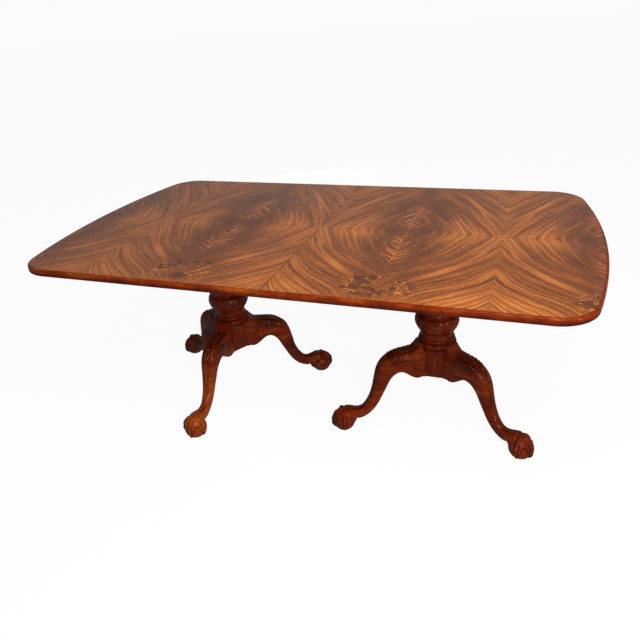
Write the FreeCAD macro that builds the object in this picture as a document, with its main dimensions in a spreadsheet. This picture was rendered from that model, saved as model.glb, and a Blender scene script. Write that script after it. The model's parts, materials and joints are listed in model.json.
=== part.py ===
import FreeCAD, Part
import math
import os
import Sketcher

Vector = FreeCAD.Vector
UP = Vector(0, 0, 1)

doc = FreeCAD.newDocument("pedestal_table")
sheet = doc.addObject("Spreadsheet::Sheet", "size")

# Driving dimensions in millimetres. Angles are in degrees, runs and rises are shares.
SIZES = {
    "table_length": 1990,
    "table_width": 1150,
    "table_height": 762,
    "end_bow": 71,
    "corner_radius": 124,
    "seam_gap": 0.4,
    "top_thickness": 26,
    "veneer_thickness": 1,
    "veneer_sheet": 332,
    "moulding_width": 8,
    "quirk_width": 1.5,
    "quirk_depth": 1.2,
    "under_round": 6,
    "pin_radius": 5,
    "pin_length": 44,
    "pin_inner": 120,
    "pin_inset": 84,
    "pin_fit": 0.08,
    "cleat_thickness": 24,
    "cleat_width": 70,
    "cleat_inset": 134,
    "cleat_spread": 220,
    "cleat_bevel": 14,
    "cleat_screw_offset": 168,
    "cleat_screw_inset": 70,
    "plate_size": 300,
    "plate_thickness": 24,
    "plate_chamfer": 9,
    "plate_screw_offset": 100,
    "slide_offset": 230,
    "slide_fit": 0.3,
    "slide_drop": 1,
    "rail_thickness": 26,
    "rail_height": 50,
    "rail_reach": 640,
    "rail_lap": 260,
    "tongue_depth": 8,
    "tongue_root": 12,
    "tongue_tip": 19,
    "pedestal_spacing": 879,
    "block_apothem": 55.5,
    "block_bottom": 194,
    "block_height": 120,
    "dovetail_depth": 16,
    "dovetail_root": 28,
    "dovetail_tail": 38,
    "dovetail_stop": 14,
    "wood_fit": 0.15,
    "lower_tenon_radius": 22,
    "lower_tenon_length": 60,
    "upper_tenon_radius": 24,
    "plinth_radius": 67.5,
    "plinth_height": 6,
    "bead_radius": 73.7,
    "bead_height": 17,
    "collar_radius": 70,
    "collar_height": 3,
    "torus_radius": 68,
    "torus_root": 63,
    "torus_height": 14,
    "waist_radius": 62,
    "waist_height": 24,
    "waist_hollow": 25.5,
    "urn_foot": 66.5,
    "urn_fillet": 3,
    "urn_radius": 83.2,
    "urn_lower": 35,
    "urn_curve": 70,
    "urn_groove": 1.2,
    "urn_band": 4,
    "urn_upper": 22,
    "urn_brim": 77,
    "brim_curve": 60,
    "urn_shoulder": 71.5,
    "shoulder_height": 20,
    "shoulder_hollow": 32,
    "lip_radius": 60,
    "lip_height": 5,
    "neck_radius": 47,
    "neck_height": 12,
    "neck_hollow": 19.4,
    "fillet_step": 2.4,
    "shaft_top": 39,
    "astragal_radius": 48,
    "astragal_height": 10,
    "flare_height": 34,
    "flare_hollow": 67,
    "flare_radius": 78,
    "cap_radius": 84,
    "cap_height": 12,
    "rod_radius": 5,
    "rod_bore": 5.6,
    "rod_end": 5,
    "nut_width": 17,
    "nut_height": 9,
    "nut_fit": 0.05,
    "washer_radius": 32,
    "washer_thickness": 4,
    "spider_thickness": 4,
    "spider_arm": 32,
    "spider_reach": 100,
    "spider_hub": 34,
    "leg_reach": 378,
    "ball_radius": 43,
    "ball_height": 40.5,
    "talon_stand": 1.5,
    "talon_thickness": 8,
    "high_knuckle": 9.6,
    "middle_knuckle": 9,
    "low_knuckle": 8.4,
    "nail_length": 14,
    "nail_root": 6.9,
    "nail_tip": 2.5,
    "screw_radius": 2.3,
    "screw_head": 4.6,
    "screw_sink": 3.4,
    "screw_fit": 0.1,
    "plate_screw": 42,
    "cleat_screw": 40,
    "rail_screw": 48,
    "rail_counterbore": 20,
    "counterbore_radius": 5.4,
    "rail_screw_inset": 8,
    "spider_screw": 30,
    "lock_screw": 14,
    "base_screw_spread": 20.8,
    "catch_screw_spread": 15,
    "lock_inset": 154,
    "lock_sheet": 2,
    "lock_pivot": 45,
    "lock_stud": 30,
    "lock_pin_radius": 4,
    "lock_rim": 7,
    "lock_fit": 0.08,
    "lever_thickness": 3,
    "lever_width": 24,
    "lever_slot": 11,
    "lever_tip": 14,
    "lever_play": 0.2,
    "lever_stand": 4,
    "lever_tab": 12,
    "rim_height": 2.5,
    "base_length": 60,
    "base_width": 36,
    "catch_length": 44,
}

# Sections of the cabriole leg from the block to the claws: run along the reach, rise as a share of the
# middle of the block, lean from the vertical, then depth, width and rounding.
LEG_SECTIONS = {
    "root": (0.0, 1.034, 0, 150.5, 62, 6),
    "flare": (0.076, 1.013, 0.5, 138.5, 62, 7),
    "shoulder": (0.132, 0.986, 1, 120, 62, 9),
    "lobe": (0.197, 1.0, 2.2, 104, 63, 13),
    "arch": (0.287, 1.028, 11.6, 89.8, 65, 18),
    "upper_knee": (0.389, 1.003, 29.2, 81.9, 66, 22),
    "knee": (0.468, 0.917, 45.2, 75.9, 63, 24),
    "lower_knee": (0.517, 0.790, 57.7, 63.6, 57, 23),
    "upper_shin": (0.546, 0.678, 60.8, 56, 51.5, 21),
    "shin": (0.582, 0.556, 59.8, 49.3, 47, 19.5),
    "lower_shin": (0.625, 0.436, 56.7, 46.1, 42.5, 18),
    "ankle": (0.678, 0.337, 45.9, 45.8, 38.5, 17),
    "wrist": (0.742, 0.267, 32.4, 45.4, 37, 17),
    "palm": (0.838, 0.246, 20.6, 52, 43, 19),
    "web": (0.951, 0.276, 12.8, 42.3, 58, 18),
    "web_edge": (1.034, 0.278, 11, 33.8, 50, 12),
}
SECTION_SIZES = ("run", "rise", "lean", "depth", "width", "round")
for section, amounts in LEG_SECTIONS.items():
    for kind, amount in zip(SECTION_SIZES, amounts):
        SIZES[f"{section}_{kind}"] = amount

for row, (alias, amount) in enumerate(SIZES.items(), 1):
    sheet.set(f"A{row}", alias)
    sheet.set(f"B{row}", str(amount))
    sheet.setAlias(f"B{row}", alias)
doc.recompute()

# Levels and places that several pieces share
PANEL_FOOT = "(size.table_height - size.top_thickness)"
CLEAT_FOOT = f"({PANEL_FOOT} - size.cleat_thickness)"
PLATE_FOOT = f"({CLEAT_FOOT} - size.plate_thickness)"
RAIL_FOOT = f"({CLEAT_FOOT} - size.rail_height)"
BLOCK_TOP = "(size.block_bottom + size.block_height)"
LOCK_FOOT = f"({PANEL_FOOT} - size.lock_sheet)"
SPIDER_FOOT = "(size.block_bottom - size.spider_thickness)"
AXIS_X = "(-size.pedestal_spacing / 2)"
SEAM_X = "(-size.seam_gap / 2)"
CLEAT_END = "(size.table_width / 2 - size.cleat_inset)"
LOCK_Y = "(size.table_width / 2 - size.lock_inset)"
OUTER_PIN = "(size.table_width / 2 - size.pin_inset)"
LEG_ANGLES = {"front": 270, "inner": 30, "outer": 150}
HALF_TURN = FreeCAD.Placement(Vector(), FreeCAD.Rotation(UP, 180))


def measure(formula):
    return float(sheet.evalExpression(formula))


def bind(feature, formulas):
    for name, formula in formulas.items():
        feature.setExpression(name, formula)
    return feature


def place(feature, x, y, z):
    return bind(feature, {"Placement.Base.x": x, "Placement.Base.y": y, "Placement.Base.z": z})


def box(label, low, high):
    sides = [f"({b}) - ({a})" for a, b in zip(low, high)]
    piece = doc.addObject("Part::Box", label)
    bind(piece, dict(zip(("Length", "Width", "Height"), sides)))
    return place(piece, *low)


def cylinder(label, radius, x, y, foot, head):
    piece = doc.addObject("Part::Cylinder", label)
    bind(piece, {"Radius": radius, "Height": f"({head}) - ({foot})"})
    return place(piece, x, y, foot)


def cut(label, base, tool):
    piece = doc.addObject("Part::Cut", label)
    piece.Base = base
    piece.Tool = tool
    return piece


def common(label, base, tool):
    piece = doc.addObject("Part::Common", label)
    piece.Base = base
    piece.Tool = tool
    return piece


def fuse(label, pieces):
    piece = doc.addObject("Part::MultiFuse", label)
    piece.Shapes = pieces
    return piece


def group(label, pieces):
    piece = doc.addObject("Part::Compound", label)
    piece.Links = pieces
    return piece


def copy_at(label, piece, x, y, z, angle=0):
    copy = group(label, [piece])
    copy.Placement = FreeCAD.Placement(Vector(), FreeCAD.Rotation(UP, angle))
    return place(copy, x, y, z)


def turned(label, piece):
    copy = group(label, [piece])
    copy.Placement = HALF_TURN
    return copy


def new_body(label):
    return doc.addObject("PartDesign::Body", label)


def sketch_on(body, name, role):
    sketch = body.newObject("Sketcher::SketchObject", name)
    plane = next(item for item in body.Origin.OriginFeatures if item.Role == role)
    sketch.AttachmentSupport = [(plane, "")]
    sketch.MapMode = "FlatFace"
    return sketch


def hold(sketch, kind, spot, formula):
    geometry, end = spot
    amount = measure(formula)
    if amount == 0:
        axis = -2 if kind == "DistanceX" else -1
        sketch.addConstraint(Sketcher.Constraint("PointOnObject", geometry, end, axis))
        return
    index = sketch.addConstraint(Sketcher.Constraint(kind, geometry, end, amount))
    sketch.setExpression(f"Constraints[{index}]", formula)


def hold_radius(sketch, geometry, formula):
    index = sketch.addConstraint(Sketcher.Constraint("Radius", geometry, measure(formula)))
    sketch.setExpression(f"Constraints[{index}]", formula)


def arc_between(start, finish, radius, turn):
    chord = finish - start
    across = Vector(-chord.y, chord.x, 0).normalize()
    rise = math.sqrt(radius ** 2 - chord.Length ** 2 / 4)
    centre = (start + finish) / 2 + across * rise * turn
    first, last = (start, finish) if turn > 0 else (finish, start)
    angles = [math.atan2(p.y - centre.y, p.x - centre.x) for p in (first, last)]
    return Part.ArcOfCircle(Part.Circle(centre, UP, radius), *angles)


def profile(sketch, corners):
    # A corner is two formulas; a third and fourth give the radius and turn of the arc to the next corner.
    points = [Vector(measure(c[0]), measure(c[1]), 0) for c in corners]
    ends = []
    for index, corner in enumerate(corners):
        start = points[index]
        finish = points[(index + 1) % len(points)]
        if len(corner) == 2:
            sketch.addGeometry(Part.LineSegment(start, finish))
            ends.append((1, 2))
        else:
            sketch.addGeometry(arc_between(start, finish, measure(corner[2]), corner[3]))
            ends.append((1, 2) if corner[3] > 0 else (2, 1))
    for index, corner in enumerate(corners):
        follower = (index + 1) % len(corners)
        meeting = (index, ends[index][1], follower, ends[follower][0])
        sketch.addConstraint(Sketcher.Constraint("Coincident", *meeting))
        hold(sketch, "DistanceX", (index, ends[index][0]), corner[0])
        hold(sketch, "DistanceY", (index, ends[index][0]), corner[1])
        if len(corner) == 4:
            hold_radius(sketch, index, corner[2])


def pad(body, sketch, length):
    feature = body.newObject("PartDesign::Pad", f"{body.Name}_pad")
    feature.Profile = sketch
    return bind(feature, {"Length": length})


def revolve(body, sketch):
    feature = body.newObject("PartDesign::Revolution", f"{body.Name}_turning")
    feature.Profile = sketch
    feature.ReferenceAxis = (sketch, ["V_Axis"])
    feature.Angle = 360
    return feature


def loft(body, sketches):
    feature = body.newObject("PartDesign::AdditiveLoft", f"{body.Name}_loft")
    feature.Profile = sketches[0]
    feature.Sections = [(sketch, [""]) for sketch in sketches[1:]]
    return feature


# Outline of the left half of the top, drawn in from the edge by an inset: side, corner, bowed end,
# corner, side, and the seam where the outline is closed.
END_RADIUS = "((size.table_width ^ 2 / 4 + size.end_bow ^ 2) / (2 * size.end_bow))"


def half_outline(sketch, inset, closed):
    half_length = measure("size.table_length / 2")
    half_width = measure("size.table_width / 2")
    gap = measure("size.seam_gap / 2")
    trim = measure(inset)
    end_radius = measure(END_RADIUS)
    corner = measure("size.corner_radius")
    end_x = end_radius - half_length
    corner_y = half_width - corner
    reach = math.sqrt((end_radius - corner) ** 2 - corner_y ** 2)
    corner_x = end_x - reach
    swing = math.atan2(corner_y, -reach)
    side = half_width - trim
    sketch.addGeometry(Part.LineSegment(Vector(-gap, -side, 0), Vector(corner_x, -side, 0)))
    front = Part.Circle(Vector(corner_x, -corner_y, 0), UP, corner - trim)
    sketch.addGeometry(Part.ArcOfCircle(front, 2 * math.pi - swing, 1.5 * math.pi))
    end = Part.Circle(Vector(end_x, 0, 0), UP, end_radius - trim)
    sketch.addGeometry(Part.ArcOfCircle(end, swing, 2 * math.pi - swing))
    rear = Part.Circle(Vector(corner_x, corner_y, 0), UP, corner - trim)
    sketch.addGeometry(Part.ArcOfCircle(rear, math.pi / 2, swing))
    sketch.addGeometry(Part.LineSegment(Vector(corner_x, side, 0), Vector(-gap, side, 0)))
    for meeting in ((0, 2, 1, 2), (1, 1, 2, 2), (2, 1, 3, 2), (3, 1, 4, 1)):
        sketch.addConstraint(Sketcher.Constraint("Tangent", *meeting))
    for line in (0, 4):
        sketch.addConstraint(Sketcher.Constraint("Horizontal", line))
    hold_radius(sketch, 1, f"size.corner_radius - ({inset})")
    hold_radius(sketch, 3, f"size.corner_radius - ({inset})")
    hold_radius(sketch, 2, f"{END_RADIUS} - ({inset})")
    hold(sketch, "DistanceX", (2, 3), f"{END_RADIUS} - size.table_length / 2")
    hold(sketch, "DistanceY", (2, 3), "0")
    hold(sketch, "DistanceX", (0, 1), SEAM_X)
    hold(sketch, "DistanceX", (4, 2), SEAM_X)
    hold(sketch, "DistanceY", (0, 1), f"-(size.table_width / 2 - ({inset}))")
    hold(sketch, "DistanceY", (4, 2), f"size.table_width / 2 - ({inset})")
    if closed:
        sketch.addGeometry(Part.LineSegment(Vector(-gap, side, 0), Vector(-gap, -side, 0)))
        sketch.addConstraint(Sketcher.Constraint("Coincident", 4, 2, 5, 1))
        sketch.addConstraint(Sketcher.Constraint("Coincident", 5, 2, 0, 1))


def half_slab(label, foot, thickness):
    body = new_body(label)
    outline = sketch_on(body, f"{label}_outline", "XY_Plane")
    bind(outline, {"AttachmentOffset.Base.z": foot})
    half_outline(outline, "size.moulding_width", True)
    pad(body, outline, thickness)
    return body


# Each half is faced with three strips, every strip of two sheets that meet on the table's long centre line.
def face_veneer(label):
    foot = "size.table_height - size.veneer_thickness"
    field = half_slab("veneer_field", foot, "size.veneer_thickness")
    edges = ["0", "size.veneer_sheet", "2 * size.veneer_sheet", "size.table_length / 2"]
    rows = {"front": ("-size.table_width / 2", "0"), "rear": ("0", "size.table_width / 2")}
    sheets = []
    for strip, (near, far) in enumerate(zip(edges, edges[1:]), 1):
        for row, (low, high) in rows.items():
            corners = (f"-({far})", low, foot), (f"-({near})", high, "size.table_height")
            area = box(f"veneer_area_{row}_{strip}", *corners)
            sheets.append(common(f"veneer_{row}_{strip}", field, area))
    return group(label, sheets)


# Rounded edge moulding with a quirk beside the veneer, swept round the half from seam to seam
def edge_moulding(label):
    body = new_body(label)
    path = sketch_on(body, "moulding_path", "XY_Plane")
    half_outline(path, "size.moulding_width", False)
    section = sketch_on(body, "moulding_section", "YZ_Plane")
    bind(section, {"AttachmentOffset.Base.z": SEAM_X})
    inner = "-(size.table_width / 2 - size.moulding_width)"
    outer = "-size.table_width / 2"
    ledge = "size.table_height - size.quirk_depth"
    over_round = "(size.moulding_width - size.quirk_width)"
    profile(section, [
        (inner, PANEL_FOOT),
        (inner, ledge),
        (f"{inner} - size.quirk_width", ledge, over_round, 1),
        (outer, f"{ledge} - {over_round}"),
        (outer, f"{PANEL_FOOT} + size.under_round", "size.under_round", 1),
        (f"{outer} + size.under_round", PANEL_FOOT),
    ])
    sweep = body.newObject("PartDesign::AdditivePipe", "moulding_sweep")
    sweep.Profile = section
    sweep.Spine = (path, [f"Edge{index}" for index in range(1, 6)])
    return body


# Countersunk wood screws point up. The drill is the same shape with the fit added.
def screw_form(label, length, fit):
    body = new_body(label)
    section = sketch_on(body, f"{label}_section", "XZ_Plane")
    profile(section, [
        ("0", f"-({fit})"),
        (f"size.screw_head + {fit}", f"-({fit})"),
        (f"size.screw_radius + {fit}", "size.screw_sink"),
        (f"size.screw_radius + {fit}", f"{length} + {fit}"),
        ("0", f"{length} + {fit}"),
    ])
    revolve(body, section)
    return body


def screw_set(label, length, spots):
    screw = screw_form(f"{label}_screw", length, "0")
    drill = screw_form(f"{label}_drill", length, "size.screw_fit")
    screws = [copy_at(f"{label}_{n}", screw, *spot) for n, spot in enumerate(spots, 1)]
    drills = [copy_at(f"{label}_hole_{n}", drill, *spot) for n, spot in enumerate(spots, 1)]
    return group(label, screws), drills


def chamfered(label, piece, size, level):
    doc.recompute()
    edges = []
    for number, edge in enumerate(piece.Shape.Edges, 1):
        if all(abs(v.Z - measure(level)) < 1e-6 for v in edge.Vertexes):
            edges.append((number, measure(size), measure(size)))
    feature = doc.addObject("Part::Chamfer", label)
    feature.Base = piece
    feature.Edges = edges
    return feature


# Cleats across the underside, bevelled at both ends
def cleat_blank(label, x):
    body = new_body(label)
    section = sketch_on(body, f"{label}_side", "YZ_Plane")
    bind(section, {"AttachmentOffset.Base.z": f"{x} - size.cleat_width / 2"})
    profile(section, [
        (f"-{CLEAT_END} + size.cleat_bevel", CLEAT_FOOT),
        (f"{CLEAT_END} - size.cleat_bevel", CLEAT_FOOT),
        (CLEAT_END, f"{CLEAT_FOOT} + size.cleat_bevel"),
        (CLEAT_END, PANEL_FOOT),
        (f"-{CLEAT_END}", PANEL_FOOT),
        (f"-{CLEAT_END}", f"{CLEAT_FOOT} + size.cleat_bevel"),
    ])
    pad(body, section, "size.cleat_width")
    return body


# Rail with a dovetail groove in its rear face, drawn with that face on the plane Y = 0
def grooved_rail(label):
    body = new_body(label)
    section = sketch_on(body, f"{label}_end", "YZ_Plane")
    bind(section, {"AttachmentOffset.Base.z": "-size.rail_reach"})
    middle = f"({RAIL_FOOT} + size.rail_height / 2)"
    mouth = "(size.tongue_root / 2 + size.slide_fit)"
    floor = "(size.tongue_tip / 2 + size.slide_fit)"
    depth = "-(size.tongue_depth + size.slide_fit)"
    profile(section, [
        ("0", RAIL_FOOT),
        ("0", f"{middle} - {mouth}"),
        (depth, f"{middle} - {floor}"),
        (depth, f"{middle} + {floor}"),
        ("0", f"{middle} + {mouth}"),
        ("0", CLEAT_FOOT),
        ("-size.rail_thickness", CLEAT_FOOT),
        ("-size.rail_thickness", RAIL_FOOT),
    ])
    pad(body, section, "size.rail_reach + size.rail_lap")
    return body


# Middle rail with a dovetail tongue on both faces, a little lower than its neighbours
def tongued_rail(label):
    body = new_body(label)
    section = sketch_on(body, f"{label}_end", "YZ_Plane")
    length = "(size.rail_reach + size.rail_lap)"
    bind(section, {"AttachmentOffset.Base.z": f"-{length} / 2"})
    middle = f"({RAIL_FOOT} + size.rail_height / 2)"
    low = f"{RAIL_FOOT} + size.slide_drop"
    high = f"{CLEAT_FOOT} - size.slide_drop"
    near = "(-size.slide_offset - size.rail_thickness / 2)"
    far = "(-size.slide_offset + size.rail_thickness / 2)"
    profile(section, [
        (near, low),
        (far, low),
        (far, f"{middle} - size.tongue_root / 2"),
        (f"{far} + size.tongue_depth", f"{middle} - size.tongue_tip / 2"),
        (f"{far} + size.tongue_depth", f"{middle} + size.tongue_tip / 2"),
        (far, f"{middle} + size.tongue_root / 2"),
        (far, high),
        (near, high),
        (near, f"{middle} + size.tongue_root / 2"),
        (f"{near} - size.tongue_depth", f"{middle} + size.tongue_tip / 2"),
        (f"{near} - size.tongue_depth", f"{middle} - size.tongue_tip / 2"),
        (near, f"{middle} - size.tongue_root / 2"),
    ])
    pad(body, section, length)
    return body


def bulge(chord, rise):
    return f"((({chord}) / 2) ^ 2 + ({rise}) ^ 2) / (2 * ({rise}))"


# Turned column: tenon, plinth, bead, collar, torus, hollow waist, urn with a groove under its brim, hollow
# shoulder, lip, neck, tapered shaft, astragal, flare, cap and upper tenon
def column(label):
    body = new_body(label)
    section = sketch_on(body, f"{label}_section", "XZ_Plane")
    plinth = f"{BLOCK_TOP} + size.plinth_height"
    bead = f"{plinth} + size.bead_height"
    collar = f"{bead} + size.collar_height"
    torus = f"{collar} + size.torus_height"
    waist = f"{torus} + size.waist_height"
    foot = f"{waist} + size.urn_fillet"
    belly = f"{foot} + size.urn_lower"
    band = f"{belly} + size.urn_band"
    brim = f"{band} + size.urn_upper"
    shoulder = f"{brim} + size.shoulder_height"
    lip = f"{shoulder} + size.lip_height"
    neck = f"{lip} + size.neck_height"
    cap = f"{PLATE_FOOT} - size.cap_height"
    flare = f"{cap} - size.flare_height"
    astragal = f"{flare} - size.astragal_height"
    root = f"{BLOCK_TOP} - size.lower_tenon_length"
    head = f"{CLEAT_FOOT} - size.wood_fit"
    bead_arc = bulge("size.bead_height", "size.bead_radius - size.plinth_radius")
    torus_arc = bulge("size.torus_height", "size.torus_radius - size.torus_root")
    ring_arc = bulge("size.astragal_height", "size.astragal_radius - size.shaft_top - size.fillet_step")
    profile(section, [
        ("size.rod_bore", root),
        ("size.lower_tenon_radius", root),
        ("size.lower_tenon_radius", BLOCK_TOP),
        ("size.plinth_radius", BLOCK_TOP),
        ("size.plinth_radius", plinth, bead_arc, 1),
        ("size.plinth_radius", bead),
        ("size.collar_radius", bead),
        ("size.collar_radius", collar),
        ("size.torus_root", collar, torus_arc, 1),
        ("size.torus_root", torus),
        ("size.waist_radius", torus, "size.waist_hollow", -1),
        ("size.waist_radius", waist),
        ("size.urn_foot", waist),
        ("size.urn_foot", foot, "size.urn_curve", 1),
        ("size.urn_radius", belly),
        ("size.urn_radius - size.urn_groove", f"{belly} + size.urn_band / 2"),
        ("size.urn_radius", band, "size.brim_curve", 1),
        ("size.urn_brim", brim),
        ("size.urn_shoulder", brim, "size.shoulder_hollow", -1),
        ("size.lip_radius", shoulder),
        ("size.lip_radius", lip, "size.neck_hollow", -1),
        ("size.neck_radius", neck),
        ("size.shaft_top", astragal),
        ("size.shaft_top + size.fillet_step", astragal, ring_arc, 1),
        ("size.shaft_top + size.fillet_step", flare),
        ("size.shaft_top", flare, "size.flare_hollow", -1),
        ("size.flare_radius", cap),
        ("size.cap_radius", cap),
        ("size.cap_radius", PLATE_FOOT),
        ("size.upper_tenon_radius", PLATE_FOOT),
        ("size.upper_tenon_radius", head),
        ("size.rod_bore", head),
    ])
    revolve(body, section)
    return place(body, AXIS_X, "0", "0")


# Six-sided leg block with a dovetail socket in every other face
def dovetail(label, fit):
    wedge = doc.addObject("Part::Wedge", label)
    wedge.Placement = FreeCAD.Placement(Vector(), FreeCAD.Rotation(UP, 90))
    height = f"size.block_height - size.dovetail_stop + {fit}"
    bind(wedge, {
        "Xmin": f"-(size.dovetail_root / 2 + {fit})",
        "Xmax": f"size.dovetail_root / 2 + {fit}",
        "X2min": f"-(size.dovetail_tail / 2 + {fit})",
        "X2max": f"size.dovetail_tail / 2 + {fit}",
        "Ymin": "0",
        "Ymax": f"size.dovetail_depth + {fit}",
        "Zmin": "0",
        "Z2min": "0",
        "Zmax": height,
        "Z2max": height,
    })
    return place(wedge, "size.block_apothem", "0", "size.block_bottom")


def leg_block(label):
    prism = doc.addObject("Part::Prism", "block_prism")
    prism.Polygon = 6
    bind(prism, {"Circumradius": "size.block_apothem * 2 / sqrt(3)", "Height": "size.block_height"})
    place(prism, AXIS_X, "0", "size.block_bottom")
    socket = dovetail("dovetail_socket", "size.wood_fit")
    tools = []
    for name, angle in LEG_ANGLES.items():
        tools.append(copy_at(f"socket_{name}", socket, AXIS_X, "0", "0", angle))
    mortise_floor = f"{BLOCK_TOP} - size.lower_tenon_length - size.wood_fit"
    mortise_radius = "size.lower_tenon_radius + size.wood_fit"
    tools.append(cylinder("block_mortise", mortise_radius, AXIS_X, "0", mortise_floor, BLOCK_TOP))
    tools.append(cylinder("block_bore", "size.rod_bore", AXIS_X, "0", "size.block_bottom", BLOCK_TOP))
    return cut(label, prism, group("block_cuts", tools))


# Sections of the limb and the talons stand on planes that lean out from the vertical.
def leaning_sketch(body, name, reach, height, lean):
    sketch = sketch_on(body, name, "YZ_Plane")
    tilt = FreeCAD.Rotation(Vector(1, 0, 0), measure(lean))
    sketch.AttachmentOffset = FreeCAD.Placement(Vector(), tilt)
    bind(sketch, {
        "AttachmentOffset.Base.y": height,
        "AttachmentOffset.Base.z": reach,
        "AttachmentOffset.Rotation.Angle": lean,
    })
    return sketch


def leg_limb():
    body = new_body("leg_limb")
    sketches = []
    for name in LEG_SECTIONS:
        reach = f"size.block_apothem + size.{name}_run * (size.leg_reach - size.block_apothem)"
        height = f"size.{name}_rise * (size.block_bottom + size.block_height / 2)"
        sketch = leaning_sketch(body, f"limb_{name}", reach, height, f"size.{name}_lean")
        curve = f"size.{name}_round"
        across = f"(size.{name}_width / 2)"
        along = f"(size.{name}_depth / 2)"
        profile(sketch, [
            (f"-({across} - {curve})", f"-{along}"),
            (f"{across} - {curve}", f"-{along}", curve, 1),
            (across, f"-({along} - {curve})"),
            (across, f"{along} - {curve}", curve, 1),
            (f"{across} - {curve}", along),
            (f"-({across} - {curve})", along, curve, 1),
            (f"-{across}", f"{along} - {curve}"),
            (f"-{across}", f"-({along} - {curve})", curve, 1),
        ])
        sketches.append(sketch)
    loft(body, sketches)
    return body


# A talon grips the ball from above: a bent toe with three knuckles that ends in a pointed nail.
TALON_TOP = 80
TALON_END = -24
NAIL_START = -20
KNUCKLES = {72: "size.high_knuckle", 28: "size.middle_knuckle", -6: "size.low_knuckle"}
TALON_ANGLES = {"front": 0, "left": 80, "right": -80, "rear": 180}


def talon():
    path = "(size.ball_radius + size.talon_stand)"
    toe = doc.addObject("Part::Torus", "talon_toe")
    toe.Angle3 = TALON_TOP - TALON_END
    upright = FreeCAD.Rotation(Vector(1, 0, 0), 90)
    toe.Placement = FreeCAD.Placement(Vector(), upright * FreeCAD.Rotation(UP, TALON_END))
    bind(toe, {"Radius1": path, "Radius2": "size.talon_thickness"})
    pieces = [toe]
    for bend, radius in KNUCKLES.items():
        knuckle = doc.addObject("Part::Sphere", f"knuckle_{len(pieces)}")
        bind(knuckle, {"Radius": radius})
        turn = math.radians(bend)
        pieces.append(place(knuckle, f"{math.cos(turn):.6f} * {path}", "0", f"{math.sin(turn):.6f} * {path}"))
    nail = doc.addObject("Part::Cone", "talon_nail")
    nail.Placement = FreeCAD.Placement(Vector(), FreeCAD.Rotation(Vector(0, 1, 0), 180 - NAIL_START))
    bind(nail, {"Radius1": "size.nail_root", "Radius2": "size.nail_tip", "Height": "size.nail_length"})
    turn = math.radians(NAIL_START)
    place(nail, f"{math.cos(turn):.6f} * {path}", "0", f"{math.sin(turn):.6f} * {path}")
    return fuse("talon", [*pieces, nail])


def spider_arm(label, fit, foot, head):
    tip = "size.spider_reach - size.spider_arm / 2"
    half = f"(size.spider_arm / 2 + {fit})"
    arm = box(f"{label}_bar", ("0", f"-{half}", foot), (tip, half, head))
    end = cylinder(f"{label}_end", half, tip, "0", foot, head)
    return fuse(label, [arm, end])


# Cabriole leg pointing along +X from the axis of its pedestal, with the foot cut flat on the floor
def leg(screw_holes):
    ball = doc.addObject("Part::Sphere", "foot_ball")
    bind(ball, {"Radius": "size.ball_radius"})
    place(ball, "size.leg_reach", "0", "size.ball_height")
    claw = talon()
    talons = []
    for name, angle in TALON_ANGLES.items():
        spot = ("size.leg_reach", "0", "size.ball_height")
        talons.append(copy_at(f"talon_{name}", claw, *spot, angle))
    foot = fuse("leg_foot", [ball, *talons])
    rough = fuse("leg_rough", [leg_limb(), dovetail("leg_dovetail", "0"), foot])
    far = "size.leg_reach + 3 * size.ball_radius"
    wide = "3 * size.ball_radius"
    floor = box("leg_floor", ("0", f"-{wide}", f"-{wide}"), (far, wide, "0"))
    ring_radius = "size.bead_radius + size.wood_fit"
    ring = cylinder("leg_cope", ring_radius, "0", "0", BLOCK_TOP, f"{BLOCK_TOP} + size.block_height")
    recess = spider_arm("leg_recess", "size.wood_fit", "size.block_bottom / 2", "size.block_bottom")
    return cut("leg", rough, group("leg_cuts", [floor, ring, recess, *screw_holes]))


def spider_plate(label, holes):
    hub = cylinder("spider_disc", "size.spider_hub", AXIS_X, "0", SPIDER_FOOT, "size.block_bottom")
    arm = spider_arm("spider_bar", "0", SPIDER_FOOT, "size.block_bottom")
    arms = [copy_at(f"spider_{name}", arm, AXIS_X, "0", "0", angle) for name, angle in LEG_ANGLES.items()]
    bore = cylinder("spider_bore", "size.rod_bore", AXIS_X, "0", SPIDER_FOOT, "size.block_bottom")
    return cut(label, fuse("spider_blank", [hub, *arms]), group("spider_cuts", [bore, *holes]))


# Tie rod from under the spider plate to above the top plate
LOW_WASHER = f"({SPIDER_FOOT} - size.washer_thickness)"
HIGH_WASHER = f"({CLEAT_FOOT} + size.washer_thickness)"
LOW_NUT = f"({LOW_WASHER} - size.nut_height)"
HIGH_NUT = f"({HIGH_WASHER} + size.nut_height)"


def tie_rod(label):
    foot = f"{LOW_NUT} - size.rod_end"
    head = f"{HIGH_NUT} + size.rod_end"
    return cylinder(label, "size.rod_radius", AXIS_X, "0", foot, head)


def tie_rod_nuts(label):
    nuts = []
    for name, foot, head in (("low", LOW_NUT, LOW_WASHER), ("high", HIGH_WASHER, HIGH_NUT)):
        prism = doc.addObject("Part::Prism", f"nut_prism_{name}")
        prism.Polygon = 6
        bind(prism, {"Circumradius": "size.nut_width / sqrt(3)", "Height": "size.nut_height"})
        place(prism, AXIS_X, "0", foot)
        bore = cylinder(f"nut_bore_{name}", "size.rod_radius + size.nut_fit", AXIS_X, "0", foot, head)
        nuts.append(cut(f"nut_{name}", prism, bore))
    return group(label, nuts)


def tie_rod_washers(label):
    washers = []
    for name, foot, head in (("low", LOW_WASHER, SPIDER_FOOT), ("high", CLEAT_FOOT, HIGH_WASHER)):
        disc = cylinder(f"washer_disc_{name}", "size.washer_radius", AXIS_X, "0", foot, head)
        bore = cylinder(f"washer_bore_{name}", "size.rod_bore", AXIS_X, "0", foot, head)
        washers.append(cut(f"washer_{name}", disc, bore))
    return group(label, washers)


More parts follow.
